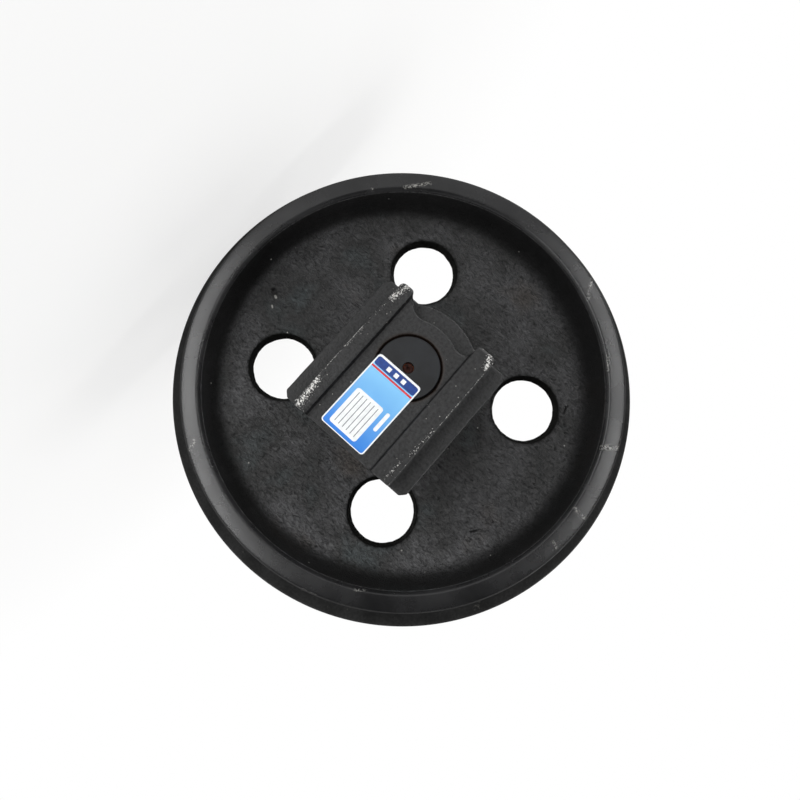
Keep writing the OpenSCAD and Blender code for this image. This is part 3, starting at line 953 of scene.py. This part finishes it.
stage = dict(
    floorSize=8.0, floor="#f4f4f2", floorGlow=(0.72, 1.0), floorFade=(0.22, 0.85),
    ambient="#ffffff", ambientStrength=0.28,
    screenSize=6.0, screenOut=2.2, screen="#4a4a4a",  # grey screens that only reflections show
    lampOut=1.5, lampSize=(0.48, 1.15),
    lamps=(("left", -0.70, 0.10, 10.7), ("right", 0.84, 0.18, 9.7)),  # right and up from the wheel, power
    topHigh=2.0, topSize=(0.9, 0.9), topPower=18,  # a softbox overhead, for the floor's shadow
    sideOut=1.7, sidePower=9,  # softboxes in line with the rails, for the tread and the brackets' ends
)


def seenDirectly(tree):
    path = addNode(tree, "LightPath").outputs
    either = mathOn(tree, "MAXIMUM", path["Is Camera Ray"], path["Is Glossy Ray"])
    return mathOn(tree, "MAXIMUM", either, path["Is Transmission Ray"])


def emptyMaterial(name):
    material = bpy.data.materials.new(name)
    material.use_nodes = True
    material.node_tree.nodes.clear()
    return material, material.node_tree


def stagePlane(name, corners, material):
    mesh = bpy.data.meshes.new(name)
    mesh.from_pydata(corners, [], [(0, 1, 2, 3)])
    mesh.materials.append(material)
    plane = looseObject(name, mesh)
    return plane


def makeFloor():
    material, tree = emptyMaterial("pale studio floor")
    matt = addNode(tree, "BsdfDiffuse", {"Color": linearColour(stage["floor"])})
    glow = addNode(tree, "Emission", {"Strength": 1.0})
    # the floor fades to white away from the wheel, so no edge shows against the backdrop
    away = addNode(tree, "VectorMath", {"operation": "LENGTH"}, {0: placeIn(tree)})
    fade = rangeOn(tree, away.outputs["Value"], stage["floorFade"], *stage["floorGlow"], **smooth)
    share = mathOn(tree, "MULTIPLY", fade, seenDirectly(tree))
    mixed = addNode(tree, "MixShader", {}, {0: share, 1: matt, 2: glow})
    addNode(tree, "OutputMaterial", {}, {"Surface": mixed})
    half, low = stage["floorSize"] / 2, cadBox[0].z
    corners = [(-half, -half, low), (half, -half, low), (half, half, low), (-half, half, low)]
    floor = stagePlane("floor", corners, material)
    floor.visible_shadow = False  # the photograph looks along the floor, so a lamp stands below its level


def makeScreens():
    half, away = stage["screenSize"] / 2, stage["screenOut"]
    material, tree = emptyMaterial("grey screen")
    glow = addNode(tree, "Emission", {"Color": linearColour(stage["screen"]), "Strength": 1.0})
    addNode(tree, "OutputMaterial", {}, {"Surface": glow})
    for name, y in (("front screen", -away), ("back screen", away)):
        corners = [(-half, y, -half), (half, y, -half), (half, y, half), (-half, y, half)]
        screen = stagePlane(name, corners, material)
        screen.visible_camera = False
        screen.visible_diffuse = False
        screen.visible_transmission = False
        screen.visible_shadow = False


def makeWorld():
    world = bpy.data.worlds.new("studio")
    world.use_nodes = True
    bpy.context.scene.world = world
    tree = world.node_tree
    tree.nodes.clear()
    ambient = {"Color": linearColour(stage["ambient"]), "Strength": stage["ambientStrength"]}
    soft = addNode(tree, "Background", ambient)
    white = addNode(tree, "Background", {"Color": (1, 1, 1, 1), "Strength": 1.0})
    mixed = addNode(tree, "MixShader", {}, {0: seenDirectly(tree), 1: soft, 2: white})
    addNode(tree, "OutputWorld", {}, {"Surface": mixed})


def makeLamp(name, place, size, power):
    # a softbox that faces the wheel's middle
    data = bpy.data.lights.new(name, "AREA")
    data.shape = "RECTANGLE"
    data.size, data.size_y = size
    data.energy = power
    data.cycles.use_multiple_importance_sampling = False
    lamp = looseObject(name, data)
    lamp.visible_camera = False
    back = place.normalized()
    across = pictureUp.cross(back).normalized()
    turned = Matrix((across, back.cross(across), back)).transposed()
    lamp.matrix_world = Matrix.Translation(place) @ turned.to_4x4()


def makeStage():
    makeFloor()
    makeScreens()
    makeWorld()
    for face, out in (("front", 1), ("back", -1)):
        for hand, right, up, power in stage["lamps"]:
            place = inPicture(right, up, out * stage["lampOut"])
            makeLamp(f"{face} {hand} softbox", place, stage["lampSize"], power)
    for end, out in (("nose", -1), ("tail", 1)):
        place = Vector((out * stage["sideOut"], 0, 0))
        makeLamp(f"{end} softbox", place, stage["lampSize"], stage["sidePower"])
    makeLamp("top softbox", Vector((0, 0, stage["topHigh"])), stage["topSize"], stage["topPower"])


makeStage()
bpy.context.scene.view_settings.view_transform = "Standard"
print("stage set")
